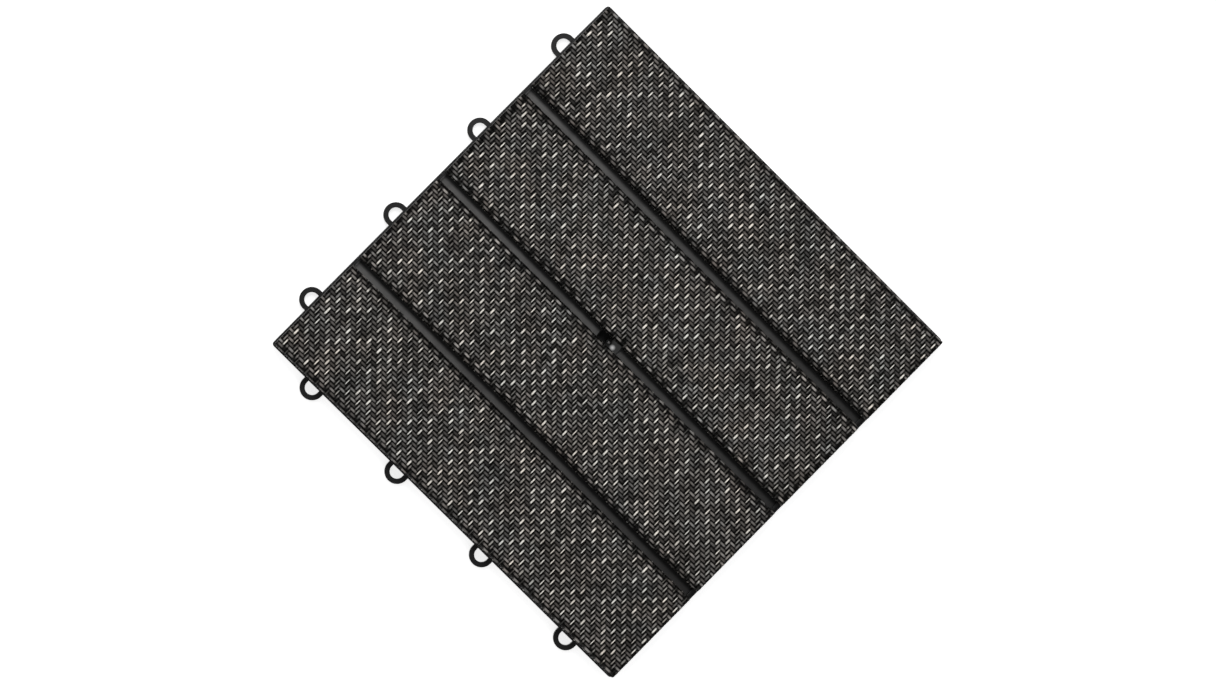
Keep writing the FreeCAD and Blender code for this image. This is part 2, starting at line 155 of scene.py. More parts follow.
class ScrewProps(bpy.types.PropertyGroup):
    head_radius: size_of("Head radius", "Radius of the pan head", 3.9)
    head_height: size_of("Head height", "Height of the pan head", 2.4)
    head_crown: size_of("Head crown", "Rounding of the head's rim", 1.0)
    thread_radius: size_of("Thread radius", "Radius of the thread's crest", 2.0)
    core_radius: size_of("Core radius", "Radius between the thread's turns", 1.4)
    pitch: size_of("Pitch", "Rise of the thread in a turn", 1.6)
    point: size_of("Point", "Length of the closing point", 3.0)
    recess_reach: size_of("Recess reach", "From the middle to an arm's end", 2.1)
    recess_width: size_of("Recess width", "Width of an arm", 0.95)
    recess_depth: size_of("Recess depth", "Depth of the cross", 1.5)


class StudioProps(bpy.types.PropertyGroup):
    sky: level("Room light", "Strength of the even light all round", 0.5)
    overhead: level("Overhead", "Brightness of the ceiling in reflections", 0.08)
    softbox: level("Softbox", "Power of the overhead softbox", 4.2)
    key: level("Key", "Power of the light from beyond the far corner", 5.0)
    lens: FloatProperty(name="Lens", description="Focal length in millimetres on a 36 mm frame",
                        default=131.56, min=10)


def node(tree, kind, inputs=None, **settings):
    """One shader node: its own options, then its sockets' values or links."""
    made = tree.nodes.new(kind)
    for name, value in settings.items():
        setattr(made, name, value)
    for name, value in (inputs or {}).items():
        if isinstance(value, bpy.types.NodeSocket):
            tree.links.new(value, made.inputs[name])
        else:
            made.inputs[name].default_value = value
    return made


def mixed(tree, mode, amount, first, second):
    """Colour mix of two sockets or colours."""
    mix = node(tree, "ShaderNodeMix", data_type="RGBA", blend_type=mode, clamp_factor=True)
    for place, value in ((0, amount), (6, first), (7, second)):
        if isinstance(value, bpy.types.NodeSocket):
            tree.links.new(value, mix.inputs[place])
        else:
            mix.inputs[place].default_value = value if place == 0 else (*value, 1)
    return mix.outputs[2]


def calc(tree, operation, first, second=0.0):
    """Math node on two sockets or numbers."""
    made = node(tree, "ShaderNodeMath", {0: first, 1: second}, operation=operation)
    return made.outputs[0]


def ranged(tree, value, low, high, start=0.0, end=1.0):
    """Map Range from start..end to low..high."""
    made = node(tree, "ShaderNodeMapRange", {"Value": value, "From Min": start, "From Max": end,
                                             "To Min": low, "To Max": high})
    return made.outputs["Result"]


def noise(tree, vector, scale, detail=2.0, rough=0.5):
    """Noise, from 0 to 1, mostly between 0.3 and 0.7."""
    made = node(tree, "ShaderNodeTexNoise", {"Vector": vector, "Scale": scale, "Detail": detail,
                                             "Roughness": rough})
    return made.outputs["Fac"]


def parts(tree, vector):
    """The X, Y and Z of a vector."""
    return node(tree, "ShaderNodeSeparateXYZ", {"Vector": vector}).outputs


def grey_of(tree, value):
    """The grey whose red, green and blue are this value."""
    return node(tree, "ShaderNodeCombineXYZ", {"X": value, "Y": value, "Z": value}).outputs[0]


def way_from(tree, place, spot):
    """Distance from a fixed spot."""
    return node(tree, "ShaderNodeVectorMath", {0: place, 1: spot}, operation="DISTANCE").outputs["Value"]


def square_reach(tree, spot):
    """How far out a place is: the greater of its x and y, whatever their signs."""
    return calc(tree, "MAXIMUM", calc(tree, "ABSOLUTE", spot["X"]), calc(tree, "ABSOLUTE", spot["Y"]))


def start_material(name):
    """An empty node tree and the object coordinates in it."""
    material = bpy.data.materials.new(name)
    material.use_nodes = True
    tree = material.node_tree
    tree.nodes.clear()
    return material, tree, node(tree, "ShaderNodeTexCoord").outputs["Object"]


def end_material(tree, colour, roughness, height, reach, strength=1.0, **fixed):
    """Principled surface with a bump; fixed holds the shader's plain numbers."""
    bump = node(tree, "ShaderNodeBump", {"Height": height, "Distance": reach, "Strength": strength})
    shader = node(tree, "ShaderNodeBsdfPrincipled",
                  {"Base Color": colour, "Roughness": roughness, "Normal": bump.outputs["Normal"]})
    for name, value in fixed.items():
        shader.inputs[name.replace("_", " ")].default_value = value
    node(tree, "ShaderNodeOutputMaterial", {"Surface": shader.outputs["BSDF"]})


def yarn_material(name, gloss):
    """Vinyl yarn: its tint from the mesh, fine lengthwise ribs from its own UV, small flecks."""
    material, tree, place = start_material(name)
    tint = node(tree, "ShaderNodeAttribute", attribute_name="tint").outputs["Color"]
    fleck = noise(tree, place, 2400, 3, 0.65)
    patch = ranged(tree, noise(tree, place, 75, 3, 0.6), 0.8, 1.2, 0.3, 0.7)
    shade = calc(tree, "MULTIPLY", patch, ranged(tree, fleck, 0.72, 1.28, 0.3, 0.7))
    colour = mixed(tree, "MULTIPLY", 1.0, tint, grey_of(tree, shade))
    lot = ranged(tree, noise(tree, place, 48, 3, 0.6), 0, 1, 0.35, 0.65)
    lot_tone = mixed(tree, "MIX", lot, (1.04, 1.0, 0.97), (0.95, 1.0, 1.03))
    colour = mixed(tree, "MULTIPLY", 1.0, colour, lot_tone)
    across = parts(tree, node(tree, "ShaderNodeUVMap", uv_map="yarn").outputs["UV"])["X"]
    ribs = calc(tree, "SINE", calc(tree, "MULTIPLY", across, 2 * math.pi * RIBS))
    height = calc(tree, "ADD", calc(tree, "MULTIPLY", ribs, 0.5), fleck)
    roughness = ranged(tree, noise(tree, place, 900), gloss - 0.06, gloss + 0.08, 0.3, 0.7)
    end_material(tree, colour, roughness, height, 0.00006, 0.7, Specular_IOR_Level=0.12)
    return material


def backing_material():
    """Dark bonded scrim under the yarns: a fine net of threads."""
    material, tree, place = start_material("backing scrim")
    waves = [node(tree, "ShaderNodeTexWave", {"Vector": place, "Scale": 180.0, "Distortion": 0.6},
                  bands_direction=way).outputs["Fac"] for way in ("X", "Y")]
    net = calc(tree, "MAXIMUM", *waves)
    colour = mixed(tree, "MIX", net, (0.004, 0.0037, 0.0034), (0.011, 0.01, 0.009))
    end_material(tree, colour, ranged(tree, net, 0.8, 0.6), net, 0.0001, 0.6, Specular_IOR_Level=0.05)
    return material


def plastic_material(base):
    """Moulded satin polypropylene: fine grain, cloudy gloss and faint rubbed patches.

    Upright faces are darker, a painted shade. The deck plate's flat faces carry a lighter grey,
    dust and a painted sheen of the overhead light: it thins towards the near side, is left out of
    the shaded half of each groove as painted shadow and ends before the outer rim. A pale dot in
    the hub's dimple is a painted highlight.
    """
    material, tree, place = start_material("moulded plastic")
    grain = noise(tree, place, 3200, 2, 0.6)
    cloud = noise(tree, place, 34, 4, 0.55)
    rub = ranged(tree, noise(tree, place, 130, 5, 0.7), 0.0, 0.35, 0.55, 0.8)
    colour = mixed(tree, "MIX", rub, tuple(base.colour), tuple(3.2 * c for c in base.colour))
    colour = mixed(tree, "MULTIPLY", ranged(tree, cloud, 0.0, 0.5, 0.35, 0.65), colour, (0.6, 0.6, 0.6))
    spot = parts(tree, place)
    facing = parts(tree, node(tree, "ShaderNodeNewGeometry").outputs["Normal"])["Z"]
    # Painted shade: upright faces are painted darker than the flat ones
    painted_side_shade = ranged(tree, calc(tree, "ABSOLUTE", facing), 1.0, 0.0, 0.15, 0.5)
    colour = mixed(tree, "MIX", painted_side_shade, colour, (0.004, 0.004, 0.0042))
    in_groove = calc(tree, "FLOORED_MODULO", calc(tree, "ADD", spot["X"], GROOVE_PITCH / 2),
                     GROOVE_PITCH)
    # Lighter grey on the plate's flat faces, dust and a painted sheen: it thins towards the near side
    # with the painted sheen, and is left out of the +X side of each groove as painted shadow
    dust_and_sheen = ranged(tree, noise(tree, place, 60, 5, 0.65), 0.6, 1.0, 0.3, 0.7)
    for share in (ranged(tree, spot["Z"], 0, 1, 9.8 * MM, 10.6 * MM),
                  ranged(tree, facing, 0, 1, 0.7, 0.95),
                  ranged(tree, spot["Y"], 0.25, 1.0, -140 * MM, 120 * MM),
                  ranged(tree, in_groove, 1.0, 0.08, GROOVE_PITCH / 2 - 0.2 * MM,
                         GROOVE_PITCH / 2 + 1.6 * MM),
                  ranged(tree, square_reach(tree, spot), 1.0, 0.0, 146.5 * MM, 148 * MM)):
        dust_and_sheen = calc(tree, "MULTIPLY", dust_and_sheen, share)
    colour = mixed(tree, "MIX", dust_and_sheen, colour, (0.24, 0.236, 0.232))
    # Painted highlight: a pale dot in the hub's dimple
    speck = ranged(tree, way_from(tree, place, (0, 0, 7 * MM)), 1.0, 0.0, 0.8 * MM, 0.95 * MM)
    colour = mixed(tree, "MIX", speck, colour, (0.85, 0.84, 0.82))
    roughness = ranged(tree, cloud, 0.3, 0.44, 0.3, 0.7)
    roughness = calc(tree, "ADD", roughness, calc(tree, "MULTIPLY", rub, 0.2))
    roughness = calc(tree, "ADD", roughness, calc(tree, "MULTIPLY", dust_and_sheen, 0.1))
    end_material(tree, colour, roughness, grain, 0.00003, 0.5, Specular_IOR_Level=0.22)
    return material


def board_material():
    """Dark composite board: pressed flakes, seen at the sawn ends and the underside."""
    material, tree, place = start_material("composite board")
    stretched = node(tree, "ShaderNodeMapping", {"Vector": place, "Scale": (1.0, 0.12, 1.0)})
    flakes = node(tree, "ShaderNodeTexVoronoi",
                  {"Vector": stretched.outputs["Vector"], "Scale": 700.0, "Randomness": 1.0})
    speck = noise(tree, place, 1500, 4, 0.7)
    tone = node(tree, "ShaderNodeSeparateColor", {"Color": flakes.outputs["Color"]}).outputs["Red"]
    colour = mixed(tree, "MIX", tone, (0.012, 0.0105, 0.0095), (0.034, 0.03, 0.027))
    colour = mixed(tree, "MIX", ranged(tree, speck, 0, 0.6, 0.62, 0.75), colour, (0.07, 0.06, 0.05))
    end_material(tree, colour, ranged(tree, speck, 0.55, 0.85), speck, 0.00012, 0.8)
    return material


def steel_material():
    """Zinc-plated steel with small dull spots."""
    material, tree, place = start_material("plated steel")
    spots = noise(tree, place, 700, 4, 0.7)
    dull = ranged(tree, spots, 0, 1, 0.45, 0.7)
    colour = mixed(tree, "MIX", dull, (0.62, 0.61, 0.58), (0.4, 0.39, 0.36))
    end_material(tree, colour, ranged(tree, spots, 0.22, 0.42), noise(tree, place, 2600), 0.00002,
                 0.5, Metallic=1.0)
    return material


def ring_quads(rows, around):
    """The quads between rings of points, from ring to ring, as the numbers of their corners."""
    row, column = np.divmod(np.arange((rows - 1) * around), around)
    following = (column + 1) % around
    return np.stack([row * around + column, row * around + following,
                     (row + 1) * around + following, (row + 1) * around + column], axis=1)


def new_piece(name, points, faces, material, tint=None, uv=None):
    """A mesh object at the origin that rides with the model. Faces are loops of point numbers."""
    mesh = bpy.data.meshes.new(name)
    mesh.from_pydata(points.reshape(-1, 3).tolist(), [], faces)
    mesh.materials.append(material)
    if tint is not None:
        layer = mesh.color_attributes.new("tint", "FLOAT_COLOR", "POINT")
        layer.data.foreach_set("color", tint.astype(np.float32).ravel())
    if uv is not None:
        layer = mesh.uv_layers.new(name="yarn")
        layer.uv.foreach_set("vector", uv.astype(np.float32).ravel())
    mesh.update()
    return ride_smooth(name, mesh)


def ride_smooth(name, mesh):
    """A smooth shaded object of this mesh that rides with the model."""
    mesh.polygons.foreach_set("use_smooth", np.ones(len(mesh.polygons), bool))
    piece = bpy.data.objects.new(name, mesh)
    bpy.context.scene.collection.objects.link(piece)
    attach(piece, "root")
    return piece


def paint(item, material):
    """One material all over a node of the model."""
    item.data.materials.clear()
    item.data.materials.append(material)


def cover_path(cloth, low, high):
    """The cloth's middle line round a board, as a function of the way s from the board's middle.

    The line runs flat over the top, round the shoulder on a quarter circle, straight down the
    side, round the heel on a quarter circle and flat under the board to the hem's edge. The
    outward normal turns from up (0) over the shoulder to sideways (90 degrees) and to down (180).
    """
    half = cloth.thickness / 2
    middle = (low.x + high.x) / 2
    side = (high.x - low.x) / 2
    shoulder, heel = cloth.shoulder_radius - half, cloth.heel_radius - half
    top_half = side - cloth.shoulder_radius
    drop = high.z - low.z - cloth.shoulder_radius - cloth.heel_radius
    lengths = (top_half, shoulder * math.pi / 2, drop, heel * math.pi / 2,
               cloth.hem_width - cloth.heel_radius)
    stops = np.cumsum(lengths)

    def at(s, lift):
        way, sign = np.abs(s), np.sign(s)
        bend = np.clip((way - stops[0]) / shoulder, 0, math.pi / 2)
        bend = bend + np.clip((way - stops[2]) / heel, 0, math.pi / 2)
        sine, cosine = np.sin(bend), np.cos(bend)
        down = np.clip(way - stops[1], 0, drop)
        back = np.clip(way - stops[3], 0, None)
        radius = np.where(way < stops[2], shoulder, heel)
        centre_x = np.where(way < stops[2], top_half, side - cloth.heel_radius) - back
        centre_z = np.where(way < stops[2], high.z - cloth.shoulder_radius - down,
                            low.z + cloth.heel_radius)
        x = np.where(way < stops[0], way, centre_x + radius * sine)
        z = centre_z + radius * cosine
        x = middle + sign * (x + lift * sine)
        z = z + lift * cosine
        return x, z, sign * sine, cosine

    return at, stops


def height_wave(count):
    """Rise of a yarn against the twill, from -1 to 1: a cosine over four crossings, held flat."""
    return np.clip(1.3 * np.cos(math.pi * count / 2), -1, 1)


def floats_at(count):
    """Rise of a yarn and the number of its float, this many crossings past a float's middle."""
    nearest = np.mod(count + TWILL / 2, TWILL) - TWILL / 2
    return height_wave(nearest), np.floor((count + TWILL / 2) / TWILL).astype(int)


# Cross-section of a yarn: bottom, right edge, two points on the crown, left edge. Painted shade
# darkens the bottom and the edges, where a yarn turns down into the gap beside it.
YARN_ACROSS = np.array((0.0, 1.0, 0.45, -0.45, -1.0))
YARN_UP = np.array((-1.0, -0.12, 1.0, 1.0, -0.12))
YARN_PAINTED_SHADE = np.array((0.02, 0.08, 1.0, 1.0, 0.08))


class Bundle:
    """Gathers yarns into one mesh: each is the yarn section carried along its own line."""

    def __init__(self):
        self.points, self.faces, self.tint, self.uv = [], [], [], []
        self.count = 0

    def add(self, line, across, up, width, depth, tint):
        """line, across and up are (n, 3); width and tint vary along the yarn.

        A point of the surface is the line's point plus the section's across part times half the
        width along across, plus its up part times half the depth along up.
        """
        sides, steps = len(YARN_ACROSS), len(line)
        wide = 0.5 * width[:, None, None] * YARN_ACROSS[None, :, None] * across[:, None, :]
        tall = 0.5 * depth * YARN_UP[None, :, None] * up[:, None, :]
        self.points.append((line[:, None, :] + wide + tall).reshape(-1, 3))
        self.tint.append((tint[:, None, :] * YARN_PAINTED_SHADE[None, :, None]).reshape(-1, 3))
        quads = ring_quads(steps, sides)
        self.faces += (quads + self.count).tolist()
        first, last = np.arange(sides)[::-1], (steps - 1) * sides + np.arange(sides)
        self.faces += [(first + self.count).tolist(), (last + self.count).tolist()]
        along = np.concatenate([[0], np.cumsum(np.linalg.norm(np.diff(line, axis=0), axis=1))])
        step, side = np.divmod(quads[:, 0], sides)
        u = np.stack([side, side + 1, side + 1, side], axis=1) / sides
        v = np.stack([along[step], along[step], along[step + 1], along[step + 1]], axis=1)
        caps = np.full((2 * sides, 2), 0.5)
        self.uv.append(np.concatenate([np.stack([u, v], axis=2).reshape(-1, 2), caps]))
        self.count += steps * sides

    def piece(self, name, material):
        """All the yarns as one object."""
        tint = np.concatenate(self.tint)
        tint = np.concatenate([tint, np.ones((len(tint), 1))], axis=1)
        return new_piece(name, np.concatenate(self.points), self.faces, material, tint,
                         np.concatenate(self.uv))


def yarn_tint(rng, colour, rise, floats, spread):
    """Colour along a yarn: its own tone, one for each float, and painted shade down in the cloth."""
    own = math.exp(rng.normal(0, YARN_SPREAD))
    each = np.exp(rng.normal(0, spread, floats.max() - floats.min() + 1))[floats - floats.min()]
    small = 1 + rng.normal(0, 0.05, len(rise))
    # Painted shade: the colour darkens where the yarn dips down in the cloth
    deep = 0.02 + 0.98 * np.clip((rise + 0.4) / 1.3, 0, 1) ** 2
    return np.outer(np.clip(own * each * small * deep, 0, 1.25), colour)


class CoverMaker:
    """Weaves the cover of one board."""

    def __init__(self, cloth, slat):
        self.cloth = cloth
        low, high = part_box(f"woven_cover_{slat}")
        self.at, self.stops = cover_path(cloth, low, high)
        self.lay = CLOTH_LAY[slat]
        self.counts = np.array([self.lay["warp"], self.lay["weft"]])
        self.start = np.array(self.lay["start"])
        self.rng = np.random.default_rng(cloth.seed + slat)
        self.reach = self.stops[-1]
        self.near, self.far = low.y - cloth.overhang, high.y
        self.side = (high.x - low.x) / 2

    def place(self, warp, weft):
        """Way s round the board and y of the point with these warp and weft counts."""
        offset = np.stack([warp - self.start[0], weft - self.start[1]])
        s, y = np.tensordot(np.linalg.inv(self.counts), offset, axes=1) * MM
        return s, y

    def count_at(self, s, y):
        """Warp and weft counts of a point: the reverse of place."""
        return self.counts @ np.array([s, y]) / MM + self.start

    def drawn_in(self, s):
        """How far the wefts are drawn in: 1 on the bends' middle, 0 away from them."""
        bend = (self.stops[0] + self.stops[1]) / 2
        return np.exp(-((np.abs(s) - bend) / DRAW_REACH) ** 4)

    def wander(self, floats):
        """Small sideways shift of each float."""
        return self.rng.normal(0, WANDER, floats.max() - floats.min() + 1)[floats - floats.min()]

    def plain_edge(self, s):
        """1 on the plain strip along the board's upper edges, 0 on the top and on the sides."""
        inner = self.side - self.cloth.edge_strip + self.rng.normal(0, 0.45 * MM)
        outer = self.stops[1] + 0.4 * MM
        way = np.abs(s)
        return np.clip((way - inner) / (0.9 * MM), 0, 1) * np.clip((outer - way) / (0.6 * MM), 0, 1)

    def turned(self, s):
        """0 on the top, growing over the shoulder to 1 on the sides: the share of painted shade there.
        """
        return np.clip((np.abs(s) - self.stops[0]) / (self.stops[1] - self.stops[0]), 0, 1)

    def lines(self, s, y, lift):
        """Points on the cloth, with the outward way there and the way round the board."""
        x, z, lean, rise = self.at(s, lift)
        line = np.stack([x, y, z], axis=1)
        up = np.stack([lean, np.zeros_like(x), rise], axis=1)
        across = np.stack([rise, np.zeros_like(x), -lean], axis=1)
        return line, up, across

    def warps(self):
        """The lengthwise yarns, each from the board's one end to its other."""
        cloth, bundle = self.cloth, Bundle()
        margin = 0.5 * cloth.warp_width + 0.3 * MM
        pitch = MM / self.counts[0, 0]
        lowest = math.ceil(self.count_at(-self.reach + margin, 0)[0])
        highest = math.floor(self.count_at(self.reach - margin, 0)[0])
        for warp in range(lowest, highest + 1):
            middle = (warp - self.start[0]) * pitch
            from_weft, to_weft = (self.count_at(middle, end)[1] for end in (self.far, self.near))
            inner = np.arange(math.ceil(2 * from_weft + 0.3), math.floor(2 * to_weft - 0.3) + 1) / 2
            weft = np.concatenate([[from_weft], inner, [to_weft]])
            s, y = self.place(np.full_like(weft, warp), weft)
            y[0], y[-1] = self.far, self.near
            rise, floats = floats_at(warp + weft - WARP_PHASE)
            lift = YARN_LIFT + cloth.rise * rise
            pale = (warp + self.lay["light_warp"]) % 2 == 0
            colour = np.array(cloth.stone if pale else cloth.umber)
            tint = yarn_tint(self.rng, colour, rise, floats, 0.42)
            # Painted light: on the plain edge strip the warps are painted lighter, a painted highlight
            # where the shoulder catches the light; over the shoulder and down the sides painted shade
            # darkens them
            tint *= ((1 + 0.5 * self.plain_edge(s)) * (1 - 0.8 * self.turned(s)))[:, None]
            s = np.clip(s + self.wander(floats), -self.reach + margin, self.reach - margin)
            line, up, across = self.lines(s, y, lift)
            width = cloth.warp_width * (1 + self.rng.normal(0, 0.03)) * np.ones_like(s)
            bundle.add(line, across, up, width, cloth.yarn_depth, tint)
        return bundle

    def wefts(self):
        """The crosswise yarns, each from hem to hem, where it stays between the board's ends."""
        cloth, bundle = self.cloth, Bundle()
        margin = 0.55 * cloth.weft_width
        corner_counts = [self.count_at(s, y)[1] for s in (-self.reach, self.reach)
                         for y in (self.near, self.far)]
        warp_span = [self.count_at(s, 0)[0] for s in (-self.reach, self.reach)]
        warp = np.arange(math.ceil(2 * warp_span[0] + 0.5), math.floor(2 * warp_span[1] - 0.5) + 1) / 2
        for weft in range(math.ceil(min(corner_counts)), math.floor(max(corner_counts)) + 1):
            s, y = self.place(warp, np.full_like(warp, weft))
            if y.max() > self.far - margin or y.min() < self.near + margin:
                continue
            rise, floats = floats_at(warp + weft - WEFT_PHASE)
            pulled = self.drawn_in(s)
            lift = YARN_LIFT + cloth.rise * rise * (1 - DRAW_FLAT * pulled) - DRAW_DEPTH * pulled
            line, up, _ = self.lines(s, y + self.wander(floats), lift)
            across = np.tile((0.0, -1.0, 0.0), (len(s), 1))
            bright = (weft + self.lay["cream_weft"]) % 2 == 0
            colour = np.array(cloth.cream if bright else cloth.grey)
            tint = yarn_tint(self.rng, colour, rise, floats, 0.5 if bright else 0.45)
            # Painted shade darkens the wefts over the shoulder and down the sides; on the plain edge
            # strip they are darkened almost to black
            tint *= ((1 - 0.92 * self.plain_edge(s)) * (1 - 0.4 * self.turned(s)))[:, None]
            number = floats.max() - floats.min() + 1
            slim = self.rng.uniform(0.5 if bright else 0.7, 1.08, number)[floats - floats.min()]
            bundle.add(line, across, up, cloth.weft_width * slim, cloth.yarn_depth, tint)
        return bundle

    def backing(self, name, material):
        """Closed thin shell just inside the yarns: the cover's path, carried along the board."""
        marks = np.concatenate([-self.stops[::-1], self.stops])
        s = np.concatenate([np.linspace(*span, endpoint=False)
                            for span in zip(marks, marks[1:], BACKING_STEPS)] + [marks[-1:]])
        inner = -self.cloth.thickness / 2
        loop_s = np.concatenate([s, s[::-1]])
        lift = np.where(np.arange(len(loop_s)) < len(s), inner + self.cloth.backing, inner)
        y = np.linspace(self.near, self.far, BACKING_ROWS)[:, None]
        x, z, _, _ = self.at(loop_s, lift)
        points = np.stack(np.broadcast_arrays(x, y, z), axis=2)
        around = len(loop_s)
        outside = ring_quads(BACKING_ROWS, around)[:, [0, 3, 2, 1]]
        here = np.arange(len(s) - 1)
        front = np.stack([here, here + 1, around - 2 - here, around - 1 - here], axis=1)
        back = front[:, ::-1] + (BACKING_ROWS - 1) * around
        return new_piece(name, points, np.concatenate([outside, front, back]).tolist(), material)


class DECKTILE_OT_covers(bpy.types.Operator):
    """Weave the four vinyl covers: warp yarns, weft yarns and backing for each board"""

    bl_idname = "decktile.covers"
    bl_label = "Woven covers"

    def execute(self, context):
        cloth = context.scene.decktile_cloth
        warp_finish = yarn_material("vinyl warp", 0.5)
        weft_finish = yarn_material("vinyl weft", 0.42)
        scrim = backing_material()
        for slat in SLATS:
            maker = CoverMaker(cloth, slat)
            warps = maker.warps().piece(f"cover_warps_{slat}", warp_finish)
            wefts = maker.wefts().piece(f"cover_wefts_{slat}", weft_finish)
            backing = maker.backing(f"cover_backing_{slat}", scrim)
            for piece in (warps, wefts, backing):
                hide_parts(f"woven_cover_{slat}")
        return {"FINISHED"}


class DECKTILE_OT_boards(bpy.types.Operator):
    """Give the four boards their composite finish"""

    bl_idname = "decktile.boards"
    bl_label = "Boards"

    def execute(self, context):
        finish = board_material()
        for slat in SLATS:
            paint(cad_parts[f"slat_core_{slat}"], finish)
        return {"FINISHED"}


class DECKTILE_OT_base(bpy.types.Operator):
    """Round the moulded base's edges and finish it as satin plastic"""

    bl_idname = "decktile.base"
    bl_label = "Moulded base"

    def execute(self, context):
        base = context.scene.decktile_base
        solid = bmesh.new()
        solid.from_mesh(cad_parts["base_grid"].data)
        bmesh.ops.remove_doubles(solid, verts=solid.verts, dist=WELD)
        bmesh.ops.dissolve_limit(solid, angle_limit=FLAT, verts=solid.verts, edges=solid.edges,
                                 delimit=set())
        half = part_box("base_grid")[1].x
        self.fill_loops(solid, half, base.loop_fill)
        self.lean_out(solid, base.near_draft)
        self.weigh_edges(solid, half, base.edge_radius / base.loop_radius)
        mesh = bpy.data.meshes.new("base_moulding")
        solid.to_mesh(mesh)
        solid.free()
        mesh.materials.append(plastic_material(base))
        piece = ride_smooth("base_moulding", mesh)
        bevel = piece.modifiers.new("rounded edges", "BEVEL")
        bevel.limit_method = "WEIGHT"
        bevel.width = base.loop_radius
        bevel.segments = 2
        bevel.use_clamp_overlap = True
        piece.modifiers.new("even shading", "WEIGHTED_NORMAL").keep_sharp = False
        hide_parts("base_grid")
        return {"FINISHED"}

    def weigh_edges(self, solid, half, share):
        """Mark the edges to round: the snap loops' in full, and this share of it elsewhere."""
        weight = solid.edges.layers.float.new("bevel_weight_edge")
        for edge in solid.edges:
            if len(edge.link_faces) != 2 or edge.calc_face_angle(0) < CREASE:
                continue
            on_loop = all(v.co.x < -half - MM or v.co.y > half + MM for v in edge.verts)
            edge[weight] = 1.0 if on_loop else share

    def lean_out(self, solid, draft):
        """Lean the wall on the near side outwards, from nothing at its foot to the draft on top."""
        low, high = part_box("base_grid")
        for corner in solid.verts:
            if corner.co.y < low.y + 0.01 * MM:
                corner.co.y -= draft * (corner.co.z - low.z) / (high.z - low.z)

    def fill_loops(self, solid, half, fill):
        """Move the inner walls of the snap loops inwards, towards the middle of each opening."""
        middle = half + LOOP_MIDDLE
        centres = [Vector(place) for along in LOOP_STATIONS
                   for place in ((-middle, along), (along, middle))]
        for corner in solid.verts:
            if corner.co.x > -half + 0.01 * MM and corner.co.y < half - 0.01 * MM:
                continue
            centre = min(centres, key=lambda place: (corner.co.xy - place).length)
            way = corner.co.xy - centre
            if way.length > LOOP_WALL:
                continue
            if abs(corner.co.x) < middle and abs(centre.x) == middle:
                way.x = 0
            if abs(corner.co.y) < middle and abs(centre.y) == middle:
                way.y = 0
            corner.co.xy -= fill * way.normalized()


def screw_surface(screw, length):
    """One screw pointing up, from the middle of its head at height 0: rings of points.

    The head's face is a shallow dome that turns up its side on a quarter circle. A cross is
    sunk in it: along each arm the depth grows with the way in from the arm's end and, faster,
    from its side. On the shank the radius swings between core and crest once a pitch, and the
    crest's height is carried round with the angle, so that it climbs as a helix. Over the last
    part the whole radius closes to the point.
    """
    angle = np.linspace(0, 2 * math.pi, SCREW_AROUND, endpoint=False)
    out = np.linspace(0, 1, HEAD_RINGS)[1:]
    crown = np.linspace(0, math.pi / 2, RIM_RINGS)[1:]
    flat, dome = screw.head_radius - screw.head_crown, 0.1 * MM
    radius = np.concatenate([flat * out, flat + screw.head_crown * np.sin(crown)])
    height = np.concatenate([dome * out ** 2, dome + (screw.head_crown - dome) * (1 - np.cos(crown))])
    x, y = np.outer(radius, np.cos(angle)), np.outer(radius, np.sin(angle))
    depth = np.zeros_like(x)
    for along, side in ((np.abs(x), np.abs(y)), (np.abs(y), np.abs(x))):
        slope = np.minimum(1.5 * (screw.recess_reach - along), 6 * (screw.recess_width / 2 - side))
        depth = np.maximum(depth, np.clip(slope, 0, screw.recess_depth))
    z = height[:, None] + depth
    shank = np.arange(screw.head_height, length, screw.pitch / THREAD_RINGS)
    turn = (shank[:, None] - screw.head_height) / screw.pitch - angle[None, :] / (2 * math.pi)
    crest = np.clip(1 - 3.2 * np.abs(np.mod(turn, 1) - 0.5), 0, 1)
    thread = screw.core_radius + (screw.thread_radius - screw.core_radius) * crest
    thread[:2] = screw.core_radius
    closing = np.clip((length - shank) / screw.point, 0.06, 1)[:, None]
    under_head = np.full_like(angle, screw.head_radius)[None, :]
    rings = np.concatenate([under_head, thread * closing])
    levels = np.concatenate([[screw.head_height], shank])
    x = np.concatenate([x, rings * np.cos(angle)])
    y = np.concatenate([y, rings * np.sin(angle)])
    z = np.concatenate([z, np.repeat(levels[:, None], len(angle), axis=1)])
    return np.stack([x, y, z], axis=2), screw.recess_depth, length


def lathe_mesh(points, bottom, top):
    """Quads between rings and a fan to a point at each end. Returns points and faces."""
    rows, around = points.shape[:2]
    faces = ring_quads(rows, around).tolist()
    ends = np.array([(0, 0, bottom), (0, 0, top)])
    here = np.arange(around)
    after = (here + 1) % around
    low, high = rows * around, rows * around + 1
    last = (rows - 1) * around
    faces += np.stack([np.full(around, low), after, here], axis=1).tolist()
    faces += np.stack([last + here, last + after, np.full(around, high)], axis=1).tolist()
    return np.concatenate([points.reshape(-1, 3), ends]), faces


class DECKTILE_OT_screws(bpy.types.Operator):
    """Turn the plated pan head screws, with their cross recess and thread"""

    bl_idname = "decktile.screws"
    bl_label = "Screws"

    def execute(self, context):
        finish = steel_material()
        screw = context.scene.decktile_screws
        for slat in SLATS:
            low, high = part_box(f"slat_screws_{slat}")
            shape, faces = lathe_mesh(*screw_surface(screw, high.z - low.z))
            across = (low.x + high.x) / 2
            ends = (low.y + screw.head_radius, high.y - screw.head_radius)
            points = [shape + np.array((across, along, low.z)) for along in ends]
            second = [[corner + len(shape) for corner in face] for face in faces]
            piece = new_piece(f"screws_{slat}", np.concatenate(points), faces + second, finish)
            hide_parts(f"slat_screws_{slat}")
        return {"FINISHED"}


